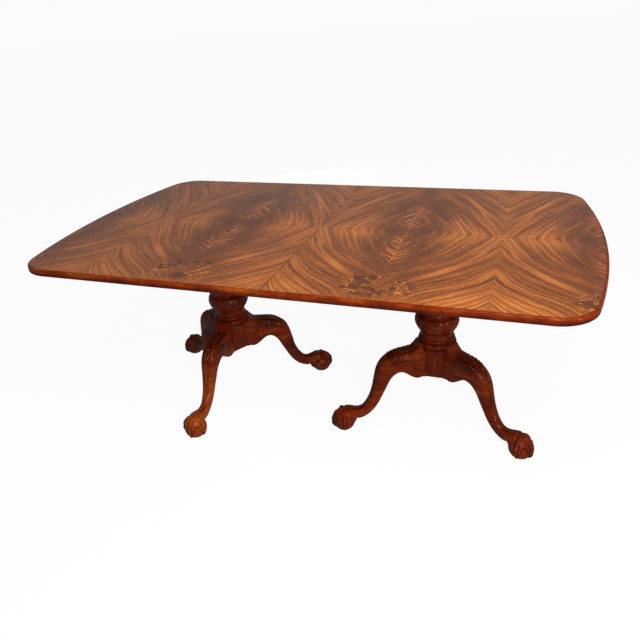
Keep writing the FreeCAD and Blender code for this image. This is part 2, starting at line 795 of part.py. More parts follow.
def top_plate(label, holes):
    half = "size.plate_size / 2"
    low = (f"{AXIS_X} - {half}", f"-{half}", PLATE_FOOT)
    high = (f"{AXIS_X} + {half}", half, CLEAT_FOOT)
    blank = chamfered("plate_blank", box("plate_board", low, high), "size.plate_chamfer", PLATE_FOOT)
    radius = "size.upper_tenon_radius + size.wood_fit"
    bore = cylinder("plate_bore", radius, AXIS_X, "0", PLATE_FOOT, CLEAT_FOOT)
    return cut(label, blank, group("plate_cuts", [bore, *holes]))


# Table lock: the lever turns on the base's pivot and its slot takes the catch's stud on the other half.
LEVER_HEAD = f"({LOCK_FOOT} - size.lever_stand - size.lever_play)"
LEVER_FOOT = f"({LEVER_HEAD} - size.lever_thickness)"
PIVOT_FOOT = f"({LEVER_FOOT} - size.lever_play)"
RIM_FOOT = f"({PIVOT_FOOT} - size.rim_height)"


def lock_sheet(label, x, y, length):
    low = (f"{x} - {length} / 2", f"{y} - size.base_width / 2", LOCK_FOOT)
    high = (f"{x} + {length} / 2", f"{y} + size.base_width / 2", PANEL_FOOT)
    return box(label, low, high)


def lock_base(label, holes):
    x, y = "-size.lock_pivot", f"-{LOCK_Y}"
    blank = lock_sheet("base_blank", x, y, "size.base_length")
    sheet_part = cut("base_sheet", blank, group("base_cuts", holes))
    collar_foot = f"{LOCK_FOOT} - size.lever_stand"
    collar = cylinder("base_collar", "size.lock_rim", x, y, collar_foot, LOCK_FOOT)
    pivot = cylinder("base_pivot", "size.lock_pin_radius", x, y, PIVOT_FOOT, collar_foot)
    rim = cylinder("base_rim", "size.lock_rim", x, y, RIM_FOOT, PIVOT_FOOT)
    return fuse(label, [sheet_part, collar, pivot, rim])


def lock_catch(label, holes):
    x, y = "-size.lock_stud", LOCK_Y
    blank = lock_sheet("catch_blank", x, y, "size.catch_length")
    sheet_part = cut("catch_sheet", blank, group("catch_cuts", holes))
    stud = cylinder("catch_stud", "size.lock_pin_radius", x, y, PIVOT_FOOT, LOCK_FOOT)
    rim = cylinder("catch_rim", "size.lock_rim", x, y, RIM_FOOT, PIVOT_FOOT)
    return fuse(label, [sheet_part, stud, rim])


def lock_lever(label):
    x, y = "-size.lock_pivot", f"-{LOCK_Y}"
    throw = f"({y} - size.lock_pivot - size.lock_stud)"
    tip = f"({throw} - size.lever_tip)"
    half = "size.lever_width / 2"
    arm = box("lever_arm", (f"{x} - {half}", tip, LEVER_FOOT), (f"{x} + {half}", y, LEVER_HEAD))
    hub = cylinder("lever_hub", half, x, y, LEVER_FOOT, LEVER_HEAD)
    tab_low = (f"{x} - {half}", tip, f"{LEVER_FOOT} - size.lever_tab")
    tab = box("lever_finger_tab", tab_low, (f"{x} + {half}", f"{tip} + size.lever_thickness", LEVER_FOOT))
    bore = cylinder("lever_bore", "size.lock_pin_radius + size.lock_fit", x, y, LEVER_FOOT, LEVER_HEAD)
    round_end = cylinder("lever_slot_end", "size.lever_slot / 2", x, throw, LEVER_FOOT, LEVER_HEAD)
    slot_low = (x, f"{throw} - size.lever_slot / 2", LEVER_FOOT)
    slot = box("lever_slot_mouth", slot_low, (f"{x} + {half}", f"{throw} + size.lever_slot / 2", LEVER_HEAD))
    return cut(label, fuse("lever_blank", [arm, hub, tab]), group("lever_cuts", [bore, round_end, slot]))


def pin_along_seam(label, radius, y, low, high):
    piece = doc.addObject("Part::Cylinder", label)
    piece.Placement = FreeCAD.Placement(Vector(), FreeCAD.Rotation(Vector(0, 1, 0), 90))
    bind(piece, {"Radius": radius, "Height": f"({high}) - ({low})"})
    level = f"{PANEL_FOOT} + (size.top_thickness - size.veneer_thickness) / 2"
    return place(piece, low, y, level)


# Places of the screws on the left half
CLEAT_X = {"outer": f"({AXIS_X} - size.cleat_spread / 2)", "inner": f"({AXIS_X} + size.cleat_spread / 2)"}
SIGNS = ("-", "")
RAIL_FACE = {
    "front": "(-size.slide_offset - size.rail_thickness / 2 - size.slide_fit)",
    "rear": "(size.slide_offset - size.rail_thickness / 2 - size.slide_fit)",
}
PIN_PLACES = [f"{sign}{place_y}" for sign in SIGNS for place_y in ("size.pin_inner", OUTER_PIN)]

plate_spots = [(x, f"{sign}size.plate_screw_offset", PLATE_FOOT) for x in CLEAT_X.values() for sign in SIGNS]
cleat_ys = ("size.cleat_screw_offset", f"({CLEAT_END} - size.cleat_screw_inset)")
cleat_spots = [(x, f"{sign}{y}", CLEAT_FOOT) for x in CLEAT_X.values() for y in cleat_ys for sign in SIGNS]
rail_spots = []
for face in RAIL_FACE.values():
    y = f"{face} - size.rail_thickness + size.rail_screw_inset"
    rail_spots += [(x, y, f"{RAIL_FOOT} + size.rail_counterbore") for x in CLEAT_X.values()]
spider_spots = []
spider_tip = "(size.spider_reach - size.spider_arm / 2)"
for angle in LEG_ANGLES.values():
    turn = math.radians(angle)
    x = f"{AXIS_X} + {math.cos(turn):.6f} * {spider_tip}"
    spider_spots.append((x, f"{math.sin(turn):.6f} * {spider_tip}", SPIDER_FOOT))
base_spots = [(f"-size.lock_pivot {sign} size.base_screw_spread", f"-{LOCK_Y}", LOCK_FOOT) for sign in "+-"]
catch_spots = [(f"-size.lock_stud {sign} size.catch_screw_spread", LOCK_Y, LOCK_FOOT) for sign in "+-"]

plate_screws, plate_holes = screw_set("left_plate_screws", "size.plate_screw", plate_spots)
cleat_screws, cleat_holes = screw_set("left_cleat_screws", "size.cleat_screw", cleat_spots)
rail_screws, rail_holes = screw_set("left_slide_screws", "size.rail_screw", rail_spots)
spider_screws, spider_holes = screw_set("left_spider_screws", "size.spider_screw", spider_spots)
lock_screws, lock_holes = screw_set("left_lock_screws", "size.lock_screw", base_spots + catch_spots)
base_holes, catch_holes = lock_holes[:2], lock_holes[2:]
for number, (x, y, head) in enumerate(rail_spots, 1):
    rail_holes.append(cylinder(f"counterbore_{number}", "size.counterbore_radius", x, y, RAIL_FOOT, head))

# Left half
bores = []
pins = []
for number, y in enumerate(PIN_PLACES, 1):
    bore_end = "-size.pin_length / 2 - size.pin_fit"
    bores.append(pin_along_seam(f"pin_bore_{number}", "size.pin_radius + size.pin_fit", y, bore_end, "0"))
    pin_ends = ("-size.pin_length / 2", "size.pin_length / 2")
    pins.append(pin_along_seam(f"pin_{number}", "size.pin_radius", y, *pin_ends))
slab = half_slab("panel_slab", PANEL_FOOT, "size.top_thickness - size.veneer_thickness")
half = {
    "top_panel": cut("left_top_panel", slab, group("panel_cuts", [*bores, *cleat_holes, *lock_holes])),
    "face_veneer": face_veneer("left_face_veneer"),
    "edge_moulding": edge_moulding("left_edge_moulding"),
    "cleat_screws": cleat_screws,
    "slide_screws": rail_screws,
    "lock_screws": lock_screws,
    "top_plate": top_plate("left_top_plate", plate_holes),
    "plate_screws": plate_screws,
    "column": column("left_column"),
    "leg_block": leg_block("left_leg_block"),
    "spider_plate": spider_plate("left_spider_plate", spider_holes),
    "spider_screws": spider_screws,
    "tie_rod": tie_rod("left_tie_rod"),
    "tie_rod_nuts": tie_rod_nuts("left_tie_rod_nuts"),
    "tie_rod_washers": tie_rod_washers("left_tie_rod_washers"),
}
for name, x in CLEAT_X.items():
    holes = group(f"{name}_cleat_cuts", [*cleat_holes, *plate_holes, *rail_holes])
    half[f"{name}_cleat"] = cut(f"left_{name}_cleat", cleat_blank(f"{name}_cleat_blank", x), holes)

nodes = {"alignment_pins": group("alignment_pins", pins)}
for name, piece in half.items():
    nodes[f"left_{name}"] = piece
    nodes[f"right_{name}"] = turned(f"right_{name}", piece)

# Legs: the right pedestal is the left one turned half round about the middle of the table.
leg_drill = screw_form("leg_drill", "size.spider_screw", "size.screw_fit")
leg_form = leg([place(leg_drill, spider_tip, "0", SPIDER_FOOT)])
RIGHT_NAMES = {"front": "rear", "inner": "inner", "outer": "outer"}
for name, angle in LEG_ANGLES.items():
    nodes[f"left_{name}_leg"] = copy_at(f"left_{name}_leg", leg_form, AXIS_X, "0", "0", angle)
    right_name = f"right_{RIGHT_NAMES[name]}_leg"
    nodes[right_name] = copy_at(right_name, leg_form, f"-{AXIS_X}", "0", "0", angle + 180)

# Slides: the left rails are cut from one form, and each turned rail serves the other slide.
rail_form = grooved_rail("rail_form")
rail_cuts = group("rail_cuts", rail_holes)
for name, other in (("front", "rear"), ("rear", "front")):
    blank = copy_at(f"{name}_rail_blank", rail_form, "0", RAIL_FACE[name], "0")
    rail = cut(f"{name}_slide_left_rail", blank, rail_cuts)
    nodes[f"{name}_slide_left_rail"] = rail
    nodes[f"{other}_slide_right_rail"] = turned(f"{other}_slide_right_rail", rail)
nodes["front_slide_middle_rail"] = tongued_rail("front_slide_middle_rail")
nodes["rear_slide_middle_rail"] = turned("rear_slide_middle_rail", nodes["front_slide_middle_rail"])

# Locks: the front lever is on the left half and the rear one on the right half.
nodes["front_lock_base"] = lock_base("front_lock_base", base_holes)
nodes["front_lock_lever"] = lock_lever("front_lock_lever")
nodes["rear_lock_catch"] = lock_catch("rear_lock_catch", catch_holes)
nodes["rear_lock_base"] = turned("rear_lock_base", nodes["front_lock_base"])
nodes["rear_lock_lever"] = turned("rear_lock_lever", nodes["front_lock_lever"])
nodes["front_lock_catch"] = turned("front_lock_catch", nodes["rear_lock_catch"])

doc.recompute()
for item in doc.Objects:
    if {"Invalid", "Error"} & set(item.State):
        raise RuntimeError(f"{item.Label} failed: {item.State}")
os.makedirs("parts", exist_ok=True)
for name, piece in nodes.items():
    shape = piece.Shape
    if shape.isNull() or not shape.isValid() or not shape.Solids:
        raise RuntimeError(f"{name} is not a valid solid")
    shape.exportStep(f"parts/{name}.step")
    print(f"{name}: {len(shape.Solids)} solids, {shape.Volume / 1000:.1f} cm3")
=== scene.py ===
import bpy
import json
import math
import numpy as np
from mathutils import Matrix, Vector
from types import SimpleNamespace

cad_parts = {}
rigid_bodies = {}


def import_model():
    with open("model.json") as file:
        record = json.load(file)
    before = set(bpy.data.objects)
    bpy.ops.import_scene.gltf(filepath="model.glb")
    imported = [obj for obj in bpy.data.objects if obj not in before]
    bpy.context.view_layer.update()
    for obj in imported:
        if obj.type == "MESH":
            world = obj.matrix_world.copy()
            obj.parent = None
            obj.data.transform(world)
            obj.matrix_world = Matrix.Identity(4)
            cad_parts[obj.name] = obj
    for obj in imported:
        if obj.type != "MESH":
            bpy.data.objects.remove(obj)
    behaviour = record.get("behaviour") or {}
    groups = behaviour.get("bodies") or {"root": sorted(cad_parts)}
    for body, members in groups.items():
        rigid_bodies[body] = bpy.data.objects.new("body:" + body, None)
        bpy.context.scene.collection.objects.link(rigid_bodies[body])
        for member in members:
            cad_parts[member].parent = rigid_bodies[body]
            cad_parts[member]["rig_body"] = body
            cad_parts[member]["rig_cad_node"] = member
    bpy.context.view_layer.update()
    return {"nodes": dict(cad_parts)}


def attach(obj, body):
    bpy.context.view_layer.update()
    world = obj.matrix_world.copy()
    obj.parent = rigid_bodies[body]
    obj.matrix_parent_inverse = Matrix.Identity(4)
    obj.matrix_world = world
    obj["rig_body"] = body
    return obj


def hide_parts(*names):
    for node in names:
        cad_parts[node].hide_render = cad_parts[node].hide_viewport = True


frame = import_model()
nodes = frame["nodes"]
print("frame loaded:", len(nodes), "nodes")


class Wire:
    def __init__(self, tree, socket):
        self.tree = tree
        self.socket = socket

    def add(self, kind, settings=None, inputs=None, output=0):  # any node: type, settings first, then sockets
        node = self.tree.nodes.new(kind)
        for name, value in (settings or {}).items():
            if name == "stops":
                ramp = node.color_ramp.elements
                while len(ramp) < len(value):
                    ramp.new(1.0)
                for element, (place, colour) in zip(ramp, value):
                    element.position = place
                    element.color = (*colour, 1.0)
            else:
                setattr(node, name, value)
        for name, value in (inputs or {}).items():
            if isinstance(value, Wire):
                self.tree.links.new(value.socket, node.inputs[name])
            else:
                node.inputs[name].default_value = value
        return Wire(self.tree, node.outputs[output])

    def math(self, operation, *others):
        return self.add("ShaderNodeMath", {"operation": operation}, dict(enumerate((self, *others))))

    def __add__(self, other):
        return self.math("ADD", other)

    def __radd__(self, other):
        return self.math("ADD", other)

    def __sub__(self, other):
        return self.math("SUBTRACT", other)

    def __rsub__(self, other):
        return self.math("MULTIPLY", -1.0).math("ADD", other)

    def __mul__(self, other):
        return self.math("MULTIPLY", other)

    def __rmul__(self, other):
        return self.math("MULTIPLY", other)

    def __abs__(self):
        return self.math("ABSOLUTE")

    def __pow__(self, other):
        return self.math("POWER", other)

    def clamp(self):
        return self.add("ShaderNodeClamp", {}, {"Value": self})

    def step(self, low, high):  # smooth step from 0 at low to 1 at high
        settings = {"interpolation_type": "SMOOTHSTEP"}
        return self.add("ShaderNodeMapRange", settings, {"Value": self, "From Min": low, "From Max": high})

    def ramp(self, stops):
        return self.add("ShaderNodeValToRGB", {"stops": stops}, {"Fac": self})

    def mix(self, first, second):  # colours, with this wire as the factor
        return self.add("ShaderNodeMix", {"data_type": "RGBA"}, {"Factor": self, 6: first, 7: second}, 2)

    def noise(self, scale, detail=4.0, roughness=0.55, distortion=0.0):
        sizes = {"Scale": scale, "Detail": detail, "Roughness": roughness, "Distortion": distortion}
        return self.add("ShaderNodeTexNoise", {}, {"Vector": self, **sizes})

    def parts(self):
        return [self.add("ShaderNodeSeparateXYZ", {}, {"Vector": self}, n) for n in range(3)]

    def vector(self, x, y, z):
        return self.add("ShaderNodeCombineXYZ", {}, {"X": x, "Y": y, "Z": z})

    def stretched(self, x, y, z):
        return self.add("ShaderNodeVectorMath", {"operation": "MULTIPLY"}, {0: self, 1: (x, y, z)})

    def bump(self, height, distance):
        return self.add("ShaderNodeBump", {}, {"Height": height, "Distance": distance, "Strength": 1.0})


def newFinish(name):
    finish = bpy.data.materials.new(name)
    finish.use_nodes = True
    shader = finish.node_tree.nodes["Principled BSDF"]
    start = Wire(finish.node_tree, None)
    return finish, shader, start


def connect(finish, shader, **wires):
    for name, wire in wires.items():
        finish.node_tree.links.new(wire.socket, shader.inputs[name.replace("_", " ")])


def objectPlace(start):
    return start.add("ShaderNodeTexCoord", {}, {}, 3)


def roundDistance(first, second):
    return (first ** 2.0 + second ** 2.0).math("SQRT")


def layCoat(shader, look):  # a clear polish, which gives all of the shine
    shader.inputs["Coat Weight"].default_value = look["coat"]
    shader.inputs["Coat IOR"].default_value = look["coatBend"]
    shader.inputs["Coat Roughness"].default_value = look["coatRoughness"]
    shader.inputs["Specular IOR Level"].default_value = 0.0


leafLook = {
    "spine": 0.332,  # the feather lies this far from the seam, and the next leaf joint twice as far
    "frontFade": (0.02, -0.02),
    "frontShift": 0.35,
    "driftScale": 4.2,
    "rippleScale": 19.0,
    "ownScale": 3.1,
}


def leafPlaces(place):  # leaves are folded like a book about the feather and about the middle of the table
    look = leafLook
    x, y = place.parts()[:2]
    away = abs(abs(x).math("MODULO", 2 * look["spine"]) - look["spine"])
    across = abs(y)
    front = y.step(*look["frontFade"])
    leaf = place.vector(away, across, front * look["frontShift"])
    return SimpleNamespace(
        place=place, x=x, y=y, away=away, across=across, front=front, leaf=leaf,
        drift=leaf.noise(look["driftScale"], 2.0) - 0.5,
        ripple=leaf.noise(look["rippleScale"], 2.0) - 0.5,
        own=place.noise(look["ownScale"], 2.0) - 0.5,  # no two leaves are quite alike
    )


ringLook = {
    "slope": 0.36,
    "curve": 0.25,
    "sweep": 0.085,
    "sweepAcross": (0.18, 0.45),
    "sweepAway": (0.33, 0.06),
    "drift": 0.040,
    "own": 0.034,
    "ripple": 0.0065,
    "eyeAway": 0.066,
    "eyeStretch": 0.85,
    "eyeOwn": 0.03,
    "eyeDrift": 0.04,
    "eyeFade": (0.101, 0.031),
}


def ringFigure(at):
    look = ringLook
    ring = at.away + at.across * look["slope"] + at.across * at.across * look["curve"]
    # in front the rings sweep into the burl
    sweep = at.across.step(*look["sweepAcross"]) * look["sweep"] * at.away.step(*look["sweepAway"])
    ring = ring + at.front * sweep
    ring = ring + at.drift * look["drift"] + at.own * look["own"] + at.ripple * look["ripple"]
    # rings close round an eye beside the feather at the middle
    eyeDistance = roundDistance(at.away - look["eyeAway"], at.across * look["eyeStretch"])
    eyeDistance = eyeDistance + at.own * look["eyeOwn"]
    eye = (eyeDistance + at.drift * look["eyeDrift"]).step(*look["eyeFade"])
    return ring, eye, ring + eye * (eyeDistance + look["eyeAway"] - ring)


stripeLook = {
    # lines per metre across the figure and along it, and a shift that sets the kinds apart
    "wide": (24.0, 1.6, 3.7),
    "stripe": (66.0, 2.2, 2.9),
    "thread": (165.0, 3.6, 5.3),
    "fine": (420.0, 14.0, 1.7),
    "stripeEdge": (0.37, 0.63),
    "threadEdge": (0.36, 0.64),
    "lean": 0.5,
    "cloudScale": 7.0,
    "mottleScale": (70.0, 30.0, 1.0),
    "patchScale": 6.0,
    "patch": (0.35, 1.3),
    "right": (0.70, 0.25),
    "rightFade": (-0.3, 0.4),
    "joint": (0.40, 0.60),
    "jointFade": (0.05, 0.16),
    "eyeCalm": 0.25,
    "tone": 0.47,
    "wideGain": 0.36,
    "stripeGain": 0.28,
    "threadGain": 0.20,
    "fineGain": 0.30,
    "cloudGain": 0.36,
    "ownGain": 0.26,
    "mottleGain": 0.22,
    "leftPaintedShade": 0.045,
    "leftPaintedShadeFade": (0.05, -0.50),
}


def figureLines(at, figure, along, kind, detail=1.0, roughness=0.5):
    acrossLines, alongLines, shift = stripeLook[kind]
    return at.place.vector(figure * acrossLines, along * alongLines, shift).noise(1.0, detail, roughness)


def stripeTone(at, eye, figure):
    look = stripeLook
    along = at.across - at.away * look["lean"]
    wide = figureLines(at, figure, along, "wide") - 0.5
    stripe = figureLines(at, figure, along, "stripe").step(*look["stripeEdge"]) - 0.5
    thread = figureLines(at, figure, along, "thread").step(*look["threadEdge"]) - 0.5
    fine = figureLines(at, figure, along, "fine", 2.0, 0.6) - 0.5
    cloud = at.leaf.noise(look["cloudScale"], 2.0, 0.5) - 0.5
    mottle = at.leaf.stretched(*look["mottleScale"]).noise(1.0, 2.0, 0.6) - 0.5
    patchy = look["patch"][0] + look["patch"][1] * at.leaf.noise(look["patchScale"], 1.0)
    patchy = patchy * (look["right"][0] + look["right"][1] * at.x.step(*look["rightFade"]))
    # stripes stand out towards the joints
    strong = look["joint"][0] + look["joint"][1] * at.away.step(*look["jointFade"]) - eye * look["eyeCalm"]
    bold = wide * look["wideGain"] + stripe * look["stripeGain"] + thread * look["threadGain"]
    tone = look["tone"] + strong * patchy * bold + fine * look["fineGain"]
    tone = tone + cloud * look["cloudGain"] + at.own * look["ownGain"] + mottle * look["mottleGain"]
    # painted shade: the left half of the top is made a little darker
    return tone - at.x.step(*look["leftPaintedShadeFade"]) * look["leftPaintedShade"], stripe, fine


middleLook = {
    "apexFade": (0.26, 0.06),
    # ring, width and gain of a few bright rings and of the dark one outside them
    "apexRings": ((0.205, 0.006, 0.14), (0.232, 0.005, 0.16), (0.256, 0.006, 0.13), (0.288, 0.015, -0.13)),
    "fleshDrift": 0.10,
    "fleshAway": (0.175, 0.055),
    "fleshAcross": (0.47, 0.34),
    "fleshShade": 0.17,
    "coreAway": 0.045,
    "coreStretch": 0.8,
    "coreFade": (0.060, 0.020),
    "coreShade": 0.10,
    "jointFade": (0.12, 0.30),
    "jointLight": 0.06,
}


def middleTone(at, ring):  # rings that come to a point on the middle line, and darker flesh and eyes
    look = middleLook
    tone = at.away.step(*look["jointFade"]) * look["jointLight"]
    apex = at.across.step(*look["apexFade"])
    for middle, width, gain in look["apexRings"]:
        tone = tone + apex * abs(ring - middle).step(width, 0.0) * gain
    flesh = (at.away + at.drift * look["fleshDrift"]).step(*look["fleshAway"])
    flesh = flesh * at.across.step(*look["fleshAcross"])
    core = roundDistance(at.away - look["coreAway"], at.across * look["coreStretch"]).step(*look["coreFade"])
    return tone - flesh * look["fleshShade"] - core * look["coreShade"]


featherLook = {
    "handFade": (-0.001, 0.001),
    "barbLean": 0.85,
    "barbRipple": 0.020,
    "barbOwn": 0.03,
    "barbScale": (90.0, 9.0),
    "barbShift": (3.1, 1.7),
    "barbEdge": (0.44, 0.56),
    "barbLight": 0.38,
    "vaneOwn": 0.05,
    "vaneRipple": 0.04,
    "vaneAway": (0.060, 0.020),
    "vaneStart": (0.015, 0.060),
    "vaneDrift": 0.10,
    "vaneEnd": (0.335, 0.260),
    "vaneShade": 0.08,
    "quillRipple": 0.010,
    "quillAway": (0.009, 0.002),
    "quillEnd": (0.33, 0.25),
    "quillLight": 0.12,
}


def featherTone(at):  # bright barbs that leave the spine towards the middle
    look = featherLook
    hand = (abs(at.x) - leafLook["spine"]).step(*look["handFade"])
    barbRun = at.across + at.away * look["barbLean"]
    barbRun = barbRun + at.ripple * look["barbRipple"] + at.own * look["barbOwn"]
    acrossScale, awayScale = look["barbScale"]
    handShift, frontShift = look["barbShift"]
    barbPlace = at.place.vector(
        barbRun * acrossScale, at.away * awayScale, hand * handShift + at.front * frontShift)
    barbs = barbPlace.noise(1.0, 1.0).step(*look["barbEdge"])
    vane = (at.away + at.own * look["vaneOwn"] + at.ripple * look["vaneRipple"]).step(*look["vaneAway"])
    vane = vane * at.across.step(*look["vaneStart"])
    vane = vane * (at.across + at.drift * look["vaneDrift"]).step(*look["vaneEnd"])
    quill = (at.away + at.ripple * look["quillRipple"]).step(*look["quillAway"])
    quill = quill * at.across.step(*look["quillEnd"])
    return vane * (barbs * look["barbLight"] - look["vaneShade"]) + quill * look["quillLight"]


burlLook = {
    "stretch": 0.72,
    "across": 0.475,
    "drift": 0.05,
    "ripple": 0.03,
    "fade": (0.098, 0.066),
    "wander": (19.0, 2.0, 0.55, 1.2),  # scale, detail, roughness and distortion of the noise
    "veinFade": (0.034, 0.010),
    "veinLight": 0.40,
    "islandAway": (0.075, 0.030),
    "islandGain": 0.05,
    "islandEdge": (0.50, 0.545),
    "islandShade": 0.22,
    "shade": 0.05,
    "stripeCalm": 0.25,
    "smudgeDrift": 0.10,
    "smudgeAway": (0.050, 0.015),
    "smudgeAcross": (0.36, 0.44),
    "smudgeShade": 0.14,
}


def burlTone(at, stripe):  # dark islands edged with pale winding veins in front, and a smudge behind
    look = burlLook
    heart = roundDistance(at.away * look["stretch"], at.across - look["across"])
    heart = heart + at.drift * look["drift"] + at.ripple * look["ripple"]
    burl = heart.step(*look["fade"]) * at.front
    wander = at.place.noise(*look["wander"])
    vein = abs(wander - 0.5).step(*look["veinFade"])
    island = wander + at.away.step(*look["islandAway"]) * look["islandGain"]
    island = island.step(*look["islandEdge"])
    figure = vein * look["veinLight"] - island * look["islandShade"] - look["shade"]
    figure = figure - stripe * look["stripeCalm"]
    smudge = (at.away + at.drift * look["smudgeDrift"]).step(*look["smudgeAway"])
    smudge = smudge * at.across.step(*look["smudgeAcross"]) * (1.0 - at.front)
    return burl * figure - smudge * look["smudgeShade"]


veneerLook = {
    "dark": (0.058, 0.015, 0.005),
    "middle": (0.190, 0.051, 0.011),
    "light": (0.430, 0.124, 0.021),
    "pale": (0.650, 0.245, 0.058),
    "stops": (0.0, 0.36, 0.68, 1.0),
    "poreScale": (700.0, 45.0),
    "poreEdge": (0.64, 0.76),
    "poreShade": 0.30,
    "seamFade": (0.0024, 0.0010),
    "seamShade": 0.8,
    "roughness": (0.42, 0.2),
    "coat": 0.40,
    "coatBend": 1.28,
    "coatRoughness": 0.24,
}


def makeVeneer():
    look = veneerLook
    finish, shader, start = newFinish("figuredVeneer")
    at = leafPlaces(objectPlace(start))
    ring, eye, figure = ringFigure(at)
    tone, stripe, fine = stripeTone(at, eye, figure)
    tone = tone + middleTone(at, ring) + featherTone(at) + burlTone(at, stripe)
    colours = [look[name] for name in ("dark", "middle", "light", "pale")]
    colour = tone.clamp().ramp(list(zip(look["stops"], colours)))
    # short dark pores along the leaf, and dirt in the seam between the two halves
    poreX, poreY = look["poreScale"]
    pores = at.place.vector(at.x * poreX, at.y * poreY, 0.0).noise(1.0, 1.0, 0.5).step(*look["poreEdge"])
    seam = abs(at.x).step(*look["seamFade"])
    dirt = (pores * look["poreShade"] + seam * look["seamShade"]).clamp()
    base, gain = look["roughness"]
    connect(finish, shader, Base_Color=dirt.mix(colour, (*look["dark"], 1.0)), Roughness=base + fine * gain)
    layCoat(shader, look)
    return finish


mahoganyLook = {
    "dark": (0.024, 0.0020, 0.0003),
    "middle": (0.140, 0.0140, 0.0008),
    "light": (0.400, 0.0880, 0.0075),
    "stops": (0.0, 0.45, 1.0),
    "lineScale": (4.0, 4.0, 1.6),
    "cloudScale": 9.0,
    "bandGain": 0.75,
    "lineGain": 0.45,
    "cloudGain": 0.7,
    "paintedShadeAndHighlightGain": 0.80,
    "paintedShadeLevels": (0.19, 0.26),
    "edgePaintedShadeLevels": (0.754, 0.743),
    "edgePaintedShade": 0.30,
    "poreScale": (9.0, 9.0, 2.0),
    "poreEdge": (0.66, 0.75),
    "poreShade": 0.4,
    "roughness": (0.34, 0.12),
    "unevenScale": 38.0,
    "uneven": 0.0006,
    "coat": 0.12,
    "coatBend": 1.50,
    "coatRoughness": 0.13,
}


def makeMahogany(name, source, lift, turn, fade=0.0):  # fade paints shade on the upper part of a leg
    look = mahoganyLook
    finish, shader, start = newFinish(name)
    if source == "attribute":
        place = start.add("ShaderNodeAttribute", {"attribute_name": "grainPlace"}, {}, 1)
    else:
        place = objectPlace(start)
    grain = place.stretched(*turn)
    bands = grain.noise(1.0, 4.0, 0.6, 0.6)
    lines = grain.stretched(*look["lineScale"]).noise(1.0, 3.0, 0.6)
    cloud = place.noise(look["cloudScale"], 2.0)
    tone = lift + (bands - 0.5) * look["bandGain"] + (lines - 0.5) * look["lineGain"]
    tone = tone + (cloud - 0.5) * look["cloudGain"]
    if source == "attribute":
        # the attribute carved holds painted shade for the carving's hollows and painted highlight where it is
        # below zero
        carved = start.add("ShaderNodeAttribute", {"attribute_name": "carved"}, {}, 2)
        tone = tone - carved * look["paintedShadeAndHighlightGain"] - place.parts()[2].step(*look["paintedShadeLevels"]) * fade
    if source == "edge":  # painted shade: the lower half of the edge, which faces down, is made darker
        tone = tone - place.parts()[2].step(*look["edgePaintedShadeLevels"]) * look["edgePaintedShade"]
    colours = [look[shade] for shade in ("dark", "middle", "light")]
    colour = tone.clamp().ramp(list(zip(look["stops"], colours)))
    pores = grain.stretched(*look["poreScale"]).noise(1.0, 1.0).step(*look["poreEdge"])
    colour = (pores * look["poreShade"]).mix(colour, (*look["dark"], 1.0))
    uneven = place.noise(look["unevenScale"], 2.0)
    base, gain = look["roughness"]
    connect(finish, shader, Base_Color=colour, Roughness=base + lines * gain)
    connect(finish, shader, Normal=uneven.bump(uneven, look["uneven"]))
    layCoat(shader, look)
    return finish


plainLook = {
    "bandGain": 1.2,
    "lineScale": (5.0, 5.0, 5.0),
    "lineGain": 0.6,
    "roughness": (0.55, 0.2),
    "uneven": 0.0004,
}


def makePlainWood(name, dark, light, turn):
    look = plainLook
    finish, shader, start = newFinish(name)
    grain = objectPlace(start).stretched(*turn)
    bands = grain.noise(1.0, 4.0, 0.6, 0.5)
    lines = grain.stretched(*look["lineScale"]).noise(1.0, 2.0)
    tone = 0.5 + (bands - 0.5) * look["bandGain"] + (lines - 0.5) * look["lineGain"]
    colour = tone.clamp().ramp([(0.0, dark), (1.0, light)])
    base, gain = look["roughness"]
    connect(finish, shader, Base_Color=colour, Roughness=base + lines * gain)
    connect(finish, shader, Normal=lines.bump(lines, look["uneven"]))
    return finish


steelLook = {
    "spotScale": 140.0,
    "spots": [(0.3, (0.42, 0.41, 0.38)), (0.7, (0.62, 0.61, 0.58))],
    "scratchScale": (30.0, 300.0, 30.0),
    "roughness": (0.28, 0.25),
}


def makeSteel():
    look = steelLook
    finish, shader, start = newFinish("zincSteel")
    place = objectPlace(start)
    colour = place.noise(look["spotScale"], 3.0).ramp(look["spots"])
    scratch = place.stretched(*look["scratchScale"]).noise(1.0, 2.0)
    base, gain = look["roughness"]
    connect(finish, shader, Base_Color=colour, Roughness=base + scratch * gain)
    shader.inputs["Metallic"].default_value = 1.0
    return finish


veneer = makeVeneer()
columnWood = makeMahogany("turnedMahogany", "object", 0.27, (48.0, 48.0, 6.0))
mouldingWood = makeMahogany("mouldingMahogany", "edge", 0.50, (9.0, 60.0, 60.0))
legWood = makeMahogany("carvedMahogany", "attribute", 0.37, (7.0, 48.0, 48.0))
# a lighter copy of the leg wood for the front leg: painted light on its shin and foot, which reach out from
# under the top, and painted shade on its upper part
paintedLitFrontLegWood = makeMahogany("paintedLitCarvedMahogany", "attribute", 0.63, (7.0, 48.0, 48.0), 0.30)
coreBoard = makePlainWood("coreBoard", (0.10, 0.050, 0.022), (0.24, 0.130, 0.060), (5.0, 50.0, 50.0))
crossWood = makePlainWood("crossHardwood", (0.19, 0.105, 0.048), (0.40, 0.250, 0.125), (60.0, 5.0, 60.0))
longWood = makePlainWood("longHardwood", (0.21, 0.115, 0.052), (0.44, 0.275, 0.140), (5.0, 60.0, 60.0))
steel = makeSteel()

